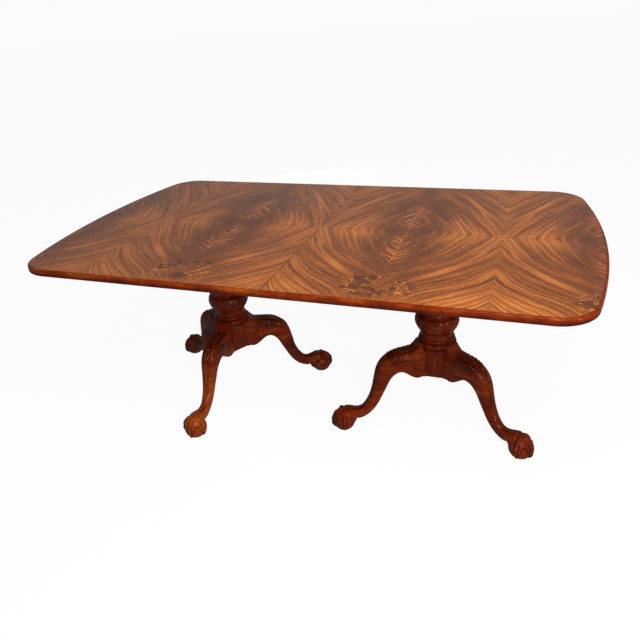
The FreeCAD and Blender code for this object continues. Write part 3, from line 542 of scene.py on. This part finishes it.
# the first word that is found in a node's name sets its finish, and the rest is steel
finishWords = [
    ("face_veneer", veneer),
    ("edge_moulding", mouldingWood),
    ("column", columnWood),
    ("leg_block", columnWood),
    ("top_panel", coreBoard),
    ("top_plate", crossWood),
    ("cleat_screws", steel),
    ("cleat", crossWood),
    ("rail", longWood),
    ("alignment_pins", longWood),
    ("_leg", columnWood),
]
for nodeName, node in nodes.items():
    chosen = next((finish for word, finish in finishWords if word in nodeName), steel)
    node.data.materials.clear()
    node.data.materials.append(chosen)
print("finishes made and laid on the CAD nodes")


pedestalAxis = 0.4395  # distance of each column from the seam
mergeGap = 0.00001


def mergedCopy(nodeName, name, move=Matrix.Identity(4)):  # a loose copy of a CAD node with its corners merged
    source = nodes[nodeName]
    bpy.ops.object.select_all(action="DESELECT")
    piece = source.copy()
    piece.data = source.data.copy()
    piece.name = name
    bpy.context.scene.collection.objects.link(piece)
    piece.parent = None
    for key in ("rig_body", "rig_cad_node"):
        del piece[key]
    piece.data.transform(move)
    bpy.context.view_layer.objects.active = piece
    piece.select_set(True)
    bpy.ops.object.mode_set(mode="EDIT")
    bpy.ops.mesh.select_all(action="SELECT")
    bpy.ops.mesh.remove_doubles(threshold=mergeGap)
    bpy.ops.object.mode_set(mode="OBJECT")
    return piece


def softStep(low, high, value):
    share = np.clip((value - low) / (high - low), 0.0, 1.0)
    return share * share * (3.0 - 2.0 * share)


def hump(value, middle, width):
    return np.exp(-((value - middle) / width) ** 2)


def humps(value, rows):  # each row is a gain, a middle and a width
    return sum(gain * hump(value, middle, width) for gain, middle, width in rows)


def between(share, ends):
    return ends[0] + (ends[1] - ends[0]) * share


legShape = {
    # bearing of each leg round its column, in degrees
    "places": {
        "left_front": 270,
        "left_inner": 30,
        "left_outer": 150,
        "right_rear": 90,
        "right_inner": 210,
        "right_outer": 330,
    },
    "voxel": 0.0016,
    "softenings": 6,
    "softening": 0.5,
    # middle line of the limb, as reach from the column and level
    "line": [(0.030, 0.263), (0.0555, 0.263), (0.080, 0.257), (0.098, 0.251), (0.119, 0.254), (0.148, 0.261),
             (0.181, 0.255), (0.2065, 0.233), (0.222, 0.201), (0.2316, 0.172), (0.243, 0.141), (0.257, 0.111),
             (0.274, 0.0856), (0.295, 0.0677), (0.326, 0.0625), (0.362, 0.070), (0.410, 0.070)],
    "roundings": 4,
    "ball": (0.378, 0.0, 0.0405),
    "batch": 4000,
    "binSize": 0.006,
    "binCount": 100,
}


def roundedLine():
    line = np.array(legShape["line"])
    for _ in range(legShape["roundings"]):  # each round cuts the corners of the one before
        cut = np.stack([0.75 * line[:-1] + 0.25 * line[1:], 0.25 * line[:-1] + 0.75 * line[1:]], 1)
        line = np.concatenate([line[:1], cut.reshape(-1, 2), line[-1:]])
    return line


def legCoordinates(points):  # run along the limb, arc from its ridge, and height over its middle line
    shape = legShape
    line = roundedLine()
    ways = np.diff(line, axis=0)
    lengths = np.linalg.norm(ways, axis=1)
    starts = np.concatenate([[0.0], np.cumsum(lengths)])
    run = np.zeros(len(points))
    over = np.zeros(len(points))
    flat = points[:, [0, 2]]
    for first in range(0, len(points), shape["batch"]):
        batch = slice(first, first + shape["batch"])
        gaps = ((flat[batch][:, None, :] - line[None, :-1, :]) ** 2).sum(2)
        near = gaps.argmin(1)
        way = ways[near] / lengths[near][:, None]
        offset = flat[batch] - line[near]
        run[batch] = starts[near] + (offset * way).sum(1)
        over[batch] = offset[:, 1] * way[:, 0] - offset[:, 0] * way[:, 1]
    bins = np.clip((run / shape["binSize"]).astype(int), 0, shape["binCount"] - 1)
    ridge = np.full(shape["binCount"], -1.0)
    np.maximum.at(ridge, bins, over)
    middles = (np.arange(shape["binCount"]) + 0.5) * shape["binSize"]
    top = np.interp(run, middles[ridge > 0], ridge[ridge > 0])
    arc = np.abs(points[:, 1]) + np.clip(top - over, 0.0, None)
    return run, arc, over


leafletCut = {
    # this cut and the next ones give heights in metres, and painted shade for their hollows, where a value
    # below zero is a painted highlight
    "sweep": 0.9,
    "lobeRound": 0.6,
    "lobeHalf": (0.78, 1.0),
    "lobeRise": (0.15, 1.0),
    "edge": 0.0015,
    "ribWidth": 0.0022,
    "ribRise": 0.0012,
    "gutterPlace": 0.0046,
    "gutterWidth": 0.0016,
    "gutterDepth": 0.0010,
    "lobePaintedShade": 1.3,
    "gutterPaintedShade": 0.6,
    "ribPaintedHighlight": -0.4,
    # below zero: a painted highlight over each whole leaflet
    "dark": -0.35,
    "outlinePlace": 0.0025,
    "outlineWidth": 0.0022,
    "outlineDepth": 0.0008,
    "outlinePaintedShade": 0.7,
}


def leaflets(run, across, half, pitch, rise):  # a rib with lobed leaflets that sweep forward on both sides
    cut = leafletCut
    aside = np.abs(across)
    lobe = np.abs(np.sin(np.pi * (run - cut["sweep"] * aside) / pitch)) ** cut["lobeRound"]
    inside = softStep(cut["edge"], -cut["edge"], aside - half * between(lobe, cut["lobeHalf"]))
    rib = hump(across, 0.0, cut["ribWidth"])
    gutter = hump(aside, cut["gutterPlace"], cut["gutterWidth"])
    heights = rise * between(lobe, cut["lobeRise"]) + cut["ribRise"] * rib - cut["gutterDepth"] * gutter
    # painted shade between the lobes, in the gutters and round the outline, and painted highlight on the rib
    # and over each leaflet
    dark = cut["lobePaintedShade"] * (1.0 - lobe) + cut["gutterPaintedShade"] * gutter + cut["ribPaintedHighlight"] * rib + cut["dark"]
    outline = hump(aside - half, cut["outlinePlace"], cut["outlineWidth"]) * (1.0 - inside)
    return inside * heights - cut["outlineDepth"] * outline, inside * dark + cut["outlinePaintedShade"] * outline


def spanOf(run, ends, startFade, endFade):  # share of the way between the ends, and a mask that fades at both
    share = np.clip((run - ends[0]) / (ends[1] - ends[0]), 0.0, 1.0)
    starting = softStep(ends[0] - startFade, ends[0] + startFade, run)
    return share, starting * softStep(ends[1] + endFade[0], ends[1] - endFade[1], run)


leafCut = {
    "ends": (0.060, 0.133),  # run of the acanthus from the block to the bands
    "startFade": 0.004,
    "endFade": (0.002, 0.003),
    "sideRib": (0.052, 0.043),  # its side ribs, as arc from the ridge at both ends
    "ribWave": 0.0035,
    "ribWaves": 9.0,
    "sideHalf": (0.024, 0.013),
    "sidePitch": 0.0125,
    "sideRise": 0.0030,
    "topHalf": (0.015, 0.025),
    "topPitch": 0.01375,
    "topRise": 0.0009,
}


def carveLeaf(run, arc):
    cut = leafCut
    share, mask = spanOf(run, cut["ends"], cut["startFade"], cut["endFade"])
    rib = between(share, cut["sideRib"]) + cut["ribWave"] * np.sin(cut["ribWaves"] * share)
    sideHalf = between(share, cut["sideHalf"])
    side, sidePaintedShade = leaflets(run, arc - rib, sideHalf, cut["sidePitch"], cut["sideRise"])
    top, topPaintedShade = leaflets(run, arc, between(share, cut["topHalf"]), cut["topPitch"], cut["topRise"])
    # the leaf's painted shade in its hollows, with painted highlight on its raised parts
    return mask * np.where(np.abs(side) > np.abs(top), side, top), mask * np.maximum(sidePaintedShade, topPaintedShade)


dropCut = {
    "ends": (0.190, 0.275),
    "startFade": 0.004,
    "endFade": (0.0, 0.02),
    "half": (0.013, 0.00325),
    "pitch": 0.0105,
    "rise": 0.0012,
    # strength of the pendant leaf's painted shade
    "dark": 0.7,
}


def carveDrop(run, arc):  # a pendant leaf below the almond
    cut = dropCut
    share, mask = spanOf(run, cut["ends"], cut["startFade"], cut["endFade"])
    drop, dark = leaflets(run, arc, between(share, cut["half"]), cut["pitch"], cut["rise"])
    # painted shade in the pendant leaf's hollows, with painted highlight on its raised parts
    return mask * drop, mask * cut["dark"] * dark


bandCut = {
    "runs": (0.1385, 0.1465),
    "sideFade": (0.070, 0.060),
    "ridge": (0.25, 1.0),
    "ridgeFade": (0.012, 0.026),
    "rises": [(0.0020, 0.0, 0.0021)],
    # painted shade beside each band
    "paintedShadeRows": [(0.7, 0.0040, 0.0015), (0.7, -0.0040, 0.0015)],
}


def carveBands(run, arc):  # two raised bands across the knee
    cut = bandCut
    reach = softStep(*cut["sideFade"], arc) * between(softStep(*cut["ridgeFade"], arc), cut["ridge"])
    heights = sum(humps(run - band, cut["rises"]) for band in cut["runs"])
    # painted shade beside both bands
    dark = sum(humps(run - band, cut["paintedShadeRows"]) for band in cut["runs"])
    return reach * heights, reach * dark


almondCut = {
    "run": 0.172,
    "halfLength": 0.0170,
    "halfWidth": 0.0082,
    "rises": [(0.0026, 0.86, 0.20), (-0.0012, 1.30, 0.14)],
    # painted shade in the middle and in the groove outside the rim, and painted highlight on the rim
    "paintedShadeRows": [(0.8, 0.35, 0.30), (0.8, 1.28, 0.16), (-0.3, 0.86, 0.16)],
}


def carveAlmond(run, arc):  # an almond with a raised rim on the knee
    cut = almondCut
    almond = np.hypot((run - cut["run"]) / cut["halfLength"], arc / cut["halfWidth"])
    # heights, then painted shade and painted highlight
    return humps(almond, cut["rises"]), humps(almond, cut["paintedShadeRows"])


scrollCut = {
    "run": 0.071,
    "arc": 0.062,
    "size": 0.0150,
    "fade": 0.003,
    "pitch": 0.0068,
    "rise": 0.0026,
    "round": 0.8,
    "sink": 0.0004,
    # painted shade in the scroll's groove and painted highlight on its crest
    "dark": (0.85, -0.35),
}


def carveScroll(run, arc, heights, dark):  # a curled scroll on each side takes the place of the leaf's start
    cut = scrollCut
    along = run - cut["run"]
    down = arc - cut["arc"]
    curl = np.hypot(along, down)
    turn = np.mod(curl / cut["pitch"] - np.arctan2(down, along) / (2 * np.pi), 1.0)
    wave = np.sin(np.pi * turn)
    inside = softStep(cut["size"], cut["size"] - cut["fade"], curl)
    rolled = cut["rise"] * wave ** cut["round"] - cut["sink"]
    outside = 1.0 - inside
    # the scroll's painted shade and painted highlight take the place of the leaf's
    return heights * outside + inside * rolled, dark * outside + inside * between(wave, cut["dark"])


tendonCut = {
    "startFade": (0.345, 0.385),
    "endFade": (0.450, 0.410),
    "overFade": (0.0, 0.010),
    "front": [(0.0013, 0.0, 0.0045)],
    "sides": [(0.0012, 0.024, 0.005)],
    # painted shade in the grooves between the tendons
    "paintedShadeRows": [(0.35, 0.0125, 0.0045)],
}


def carveTendons(points, run, arc, over):  # tendons run from the ankle to the front and side toes
    cut = tendonCut
    ankle = softStep(*cut["startFade"], run) * softStep(*cut["endFade"], run)
    ankle = ankle * softStep(*cut["overFade"], over)
    heights = humps(points[:, 1], cut["front"]) + humps(arc, cut["sides"])
    # heights, then painted shade in the grooves
    return ankle * heights, ankle * humps(arc, cut["paintedShadeRows"])


def carveHeights(points):
    run, arc, over = legCoordinates(points)
    heights, dark = carveLeaf(run, arc)
    for carve in (carveDrop, carveBands, carveAlmond):
        moreHeight, morePaintedShade = carve(run, arc)
        heights = heights + moreHeight
        dark = dark + morePaintedShade
    heights, dark = carveScroll(run, arc, heights, dark)
    moreHeight, morePaintedShade = carveTendons(points, run, arc, over)
    # heights, and the painted shade of every cut, with painted highlight where it is below zero
    return heights + moreHeight, np.clip(dark + morePaintedShade, -1.0, 1.0)


footShape = {
    "ball": 0.0430,
    "toes": (0.0, 80.0, 180.0, 280.0),
    # sizes of a toe at these angles over the middle of the ball
    "climbs": (-44.0, -30.0, -12.0, 4.0, 22.0, 42.0, 60.0),
    "toeRise": (0.0010, 0.0050, 0.0078, 0.0068, 0.0090, 0.0078, 0.0100),
    "toeHalf": (0.0020, 0.0040, 0.0056, 0.0052, 0.0066, 0.0058, 0.0070),
    "toeTip": (-48.0, -42.0),
    "toeRound": 0.6,
    # the edge of the skin is an arch from toe to toe
    "arch": (-16.0, 31.0),
    "archToe": (6.0, 36.0),
    "web": 0.0032,
    "webEdge": (-2.5, 2.5),
    "rim": [(0.0019, 2.0, 3.2)],
    # the limb keeps its own form above the ball and behind it
    "limbAbove": (34.0, 56.0),
    "limbBehind": (58.0, 40.0),
    "limbClimb": (2.0, 16.0),
    "fade": (0.064, 0.058),
    # painted shadow under the rim of the skin, and painted shade beside each toe
    "skinPaintedShadow": [(0.9, -3.5, 3.0)],
    "toePaintedShade": [(0.6, 0.0012, 0.0016)],
    "toePaintedShadeClimb": (-40.0, -30.0),
    "leastRadius": 0.000001,
}


def carveFoot(points, dark):  # the ball, its toes and the skin between them, as a radius round the ball
    shape = footShape
    middle = np.array(legShape["ball"])
    reach = points - middle
    radius = np.maximum(np.linalg.norm(reach, axis=1), shape["leastRadius"])
    bearing = np.degrees(np.arctan2(reach[:, 1], reach[:, 0]))
    climb = np.degrees(np.arcsin(np.clip(reach[:, 2] / radius, -1.0, 1.0)))
    gaps = np.abs(np.mod(bearing[:, None] - np.array(shape["toes"]) + 180.0, 360.0) - 180.0)
    toe = gaps.min(1)
    across = np.radians(toe) * np.cos(np.radians(climb)) * shape["ball"]
    half = np.interp(climb, shape["climbs"], shape["toeHalf"])
    rise = np.interp(climb, shape["climbs"], shape["toeRise"]) * softStep(*shape["toeTip"], climb)
    ridge = rise * np.clip(1.0 - (across / half) ** 2, 0.0, 1.0) ** shape["toeRound"]
    upon = climb - between(softStep(*shape["archToe"], toe), shape["arch"])
    skin = shape["web"] * softStep(*shape["webEdge"], upon) + humps(upon, shape["rim"])
    target = shape["ball"] + np.maximum(ridge, skin)
    behind = softStep(*shape["limbBehind"], np.abs(np.mod(bearing, 360.0) - 180.0))
    keep = np.maximum(softStep(*shape["limbAbove"], climb), behind * softStep(*shape["limbClimb"], climb))
    near = softStep(*shape["fade"], radius)
    wanted = target + keep * np.maximum(radius - target, 0.0)
    wanted = radius + near * (wanted - radius)
    # painted shadow under the skin's rim and painted shade beside each toe
    toePaintedShade = humps(across - half, shape["toePaintedShade"]) * softStep(*shape["toePaintedShadeClimb"], climb)
    dark = dark + near * (1.0 - keep) * (humps(upon, shape["skinPaintedShadow"]) + toePaintedShade)
    return middle + reach * (wanted / radius)[:, None], np.clip(dark, -1.0, 1.0)


def readVertices(mesh, what):
    values = np.zeros(len(mesh.vertices) * 3, np.float32)
    mesh.vertices.foreach_get(what, values)
    return values.reshape(-1, 3)


def carvedLeg():  # one leg about the column's axis, pointing along x
    shape = legShape
    turnBack = Matrix.Rotation(math.radians(-shape["places"]["left_front"]), 4, "Z")
    toLeg = turnBack @ Matrix.Translation((pedestalAxis, 0, 0))
    leg = mergedCopy("left_front_leg", "carvedLegForm", toLeg)
    remesh = leg.modifiers.new("even skin", "REMESH")
    remesh.mode = "VOXEL"
    remesh.voxel_size = shape["voxel"]
    remesh.use_smooth_shade = True
    bpy.ops.object.modifier_apply(modifier=remesh.name)
    soften = leg.modifiers.new("soften", "SMOOTH")
    soften.iterations = shape["softenings"]
    soften.factor = shape["softening"]
    bpy.ops.object.modifier_apply(modifier=soften.name)
    points = readVertices(leg.data, "co").astype(float)
    normals = readVertices(leg.data, "normal")
    heights, dark = carveHeights(points)
    grain = leg.data.attributes.new("grainPlace", "FLOAT_VECTOR", "POINT")
    grain.data.foreach_set("vector", points.astype(np.float32).ravel())
    points += normals * heights[:, None]
    points, dark = carveFoot(points, dark)
    points[:, 2] = np.maximum(points[:, 2], 0.0)
    leg.data.vertices.foreach_set("co", points.astype(np.float32).ravel())
    # carved holds the painted shade of the carving and the foot, with painted highlight where it is below
    # zero
    carved = leg.data.attributes.new("carved", "FLOAT", "POINT")
    carved.data.foreach_set("value", dark.astype(np.float32))
    return leg


legForm = carvedLeg()
print("leg form:", len(legForm.data.polygons), "faces")
for legName, angle in legShape["places"].items():
    side = -1 if legName.startswith("left") else 1
    leg = legForm.copy()
    leg.data = legForm.data.copy()
    leg.name = "carved_" + legName + "_leg"
    bpy.context.scene.collection.objects.link(leg)
    turn = Matrix.Rotation(math.radians(angle), 4, "Z")
    leg.data.transform(Matrix.Translation((side * pedestalAxis, 0, 0)) @ turn)
    leg.data.materials.clear()
    leg.data.materials.append(paintedLitFrontLegWood if legName == "left_front" else legWood)
    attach(leg, "left_half" if side < 0 else "right_half")
    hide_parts(legName + "_leg")
bpy.data.objects.remove(legForm)
print("legs placed")


columnRing = {
    "level": 0.3070,
    "reach": 0.0640,
    "thick": 0.0078,
    "segments": 120,
    "ringSegments": 24,
    "sharp": 32.0,
}


def ringedColumn(half, side):  # the turned column with the ring that laps over the block
    shape = columnRing
    column = mergedCopy(half + "_column", half + "TurnedColumn")
    bpy.ops.object.select_all(action="DESELECT")
    bpy.ops.mesh.primitive_torus_add(
        major_radius=shape["reach"], minor_radius=shape["thick"],
        major_segments=shape["segments"], minor_segments=shape["ringSegments"],
        location=(side * pedestalAxis, 0.0, shape["level"]))
    bpy.ops.object.transform_apply(location=True, rotation=True, scale=True)
    column.select_set(True)
    bpy.context.view_layer.objects.active = column
    bpy.ops.object.join()
    bpy.ops.object.shade_smooth_by_angle(angle=math.radians(shape["sharp"]))
    column.data.materials.clear()
    column.data.materials.append(columnWood)
    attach(column, half + "_half")
    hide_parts(half + "_column")


ringedColumn("left", -1)
ringedColumn("right", 1)
print("columns placed")


cameraFit = {
    "place": (0.7676, -2.0863, 1.5423),
    "heading": -0.3564,
    "pitch": 0.3681,
    "roll": -0.0681,
    "focalPixels": 619.0,
    "widthPixels": 640,
    "sensor": 36.0,
    "shift": (-0.0004, -0.1163),  # the photograph was cropped off its middle
}


def makeCamera():
    fit = cameraFit
    heading, pitch, roll = fit["heading"], fit["pitch"], fit["roll"]
    ahead = Vector((
        math.sin(heading) * math.cos(pitch),
        math.cos(heading) * math.cos(pitch),
        -math.sin(pitch),
    ))
    level = Vector((math.cos(heading), -math.sin(heading), 0.0))
    upright = level.cross(ahead)
    right = math.cos(roll) * level + math.sin(roll) * upright
    up = math.cos(roll) * upright - math.sin(roll) * level
    data = bpy.data.cameras.new("camera")
    data.lens = fit["focalPixels"] / fit["widthPixels"] * fit["sensor"]
    data.sensor_width = fit["sensor"]
    data.sensor_fit = "HORIZONTAL"
    data.shift_x, data.shift_y = fit["shift"]
    camera = bpy.data.objects.new("camera", data)
    bpy.context.scene.collection.objects.link(camera)
    turn = Matrix((right, up, -ahead)).transposed()
    camera.matrix_world = Matrix.Translation(fit["place"]) @ turn.to_4x4()
    bpy.context.scene.camera = camera


lampFit = {
    # name: place, target, size, watts
    "key": ((1.0, -1.7, 2.9), (0.2, 0.0, 0.6), 1.5, 84.0),
    "side": ((1.75, -3.05, 1.9), (0.1, 0.0, 0.35), 1.1, 60.0),
    "glint": ((3.9, -2.0, 0.68), (0.2, 0.0, 0.40), 0.22, 34.0),
    "spark": ((2.3, -3.0, 0.64), (0.0, 0.0, 0.25), 0.20, 24.0),
    "rear": ((-1.4, 3.6, 0.62), (0.0, 0.0, 0.30), 1.0, 8.0),
}


def makeLights():
    for name, (place, target, size, watts) in lampFit.items():
        data = bpy.data.lights.new(name, "AREA")
        data.energy = watts
        data.size = size
        lamp = bpy.data.objects.new(name, data)
        bpy.context.scene.collection.objects.link(lamp)
        lamp.location = place
        lamp.visible_camera = False
        lamp.rotation_mode = "QUATERNION"
        lamp.rotation_quaternion = (Vector(target) - Vector(place)).to_track_quat("-Z", "Y")


def backdropRays(start):  # 1 for rays that see the backdrop, 0 for rays that gather its light
    path = start.add("ShaderNodeLightPath").socket.node.outputs
    rayNames = ("Is Camera Ray", "Is Glossy Ray", "Is Transmission Ray")
    camera, glossy, through = [Wire(start.tree, path[name]) for name in rayNames]
    return camera.math("MAXIMUM", glossy).math("MAXIMUM", through)


surroundLook = {
    "white": (1.0, 1.0, 1.0, 1.0),
    # light that is gathered, and what is added where the backdrop is seen
    "world": (0.12, 0.842),
    "floor": (0.30, 0.60),
    "floorGlow": 0.95,
    "floorSize": 80.0,
    "floorRoughness": 0.9,
}


def makeWorld():
    look = surroundLook
    world = bpy.data.worlds.new("studio")
    bpy.context.scene.world = world
    world.use_nodes = True
    tree = world.node_tree
    background = tree.nodes["Background"]
    background.inputs["Color"].default_value = look["white"]
    gathered, added = look["world"]
    strength = gathered + backdropRays(Wire(tree, None)) * added
    tree.links.new(strength.socket, background.inputs["Strength"])


def makeFloor():
    look = surroundLook
    bpy.ops.object.select_all(action="DESELECT")
    bpy.ops.mesh.primitive_plane_add(size=look["floorSize"], location=(0.0, 0.0, 0.0))
    floor = bpy.context.active_object
    floor.name = "studioFloor"
    paper, shader, start = newFinish("paleFloor")
    seen = backdropRays(start)
    gathered, added = look["floor"]
    grey = gathered + seen * added
    connect(paper, shader, Base_Color=start.vector(grey, grey, grey))
    shader.inputs["Roughness"].default_value = look["floorRoughness"]
    shader.inputs["Specular IOR Level"].default_value = 0.0
    glow = start.add("ShaderNodeEmission", {}, {"Color": look["white"], "Strength": 1.0})
    matt = Wire(start.tree, shader.outputs[0])
    blend = start.add("ShaderNodeMixShader", {}, {0: seen * look["floorGlow"], 1: matt, 2: glow})
    start.tree.links.new(blend.socket, start.tree.nodes["Material Output"].inputs["Surface"])
    floor.data.materials.append(paper)


makeCamera()
makeLights()
makeWorld()
makeFloor()
bpy.context.scene.view_settings.view_transform = "Standard"
print("camera, lights and floor set")
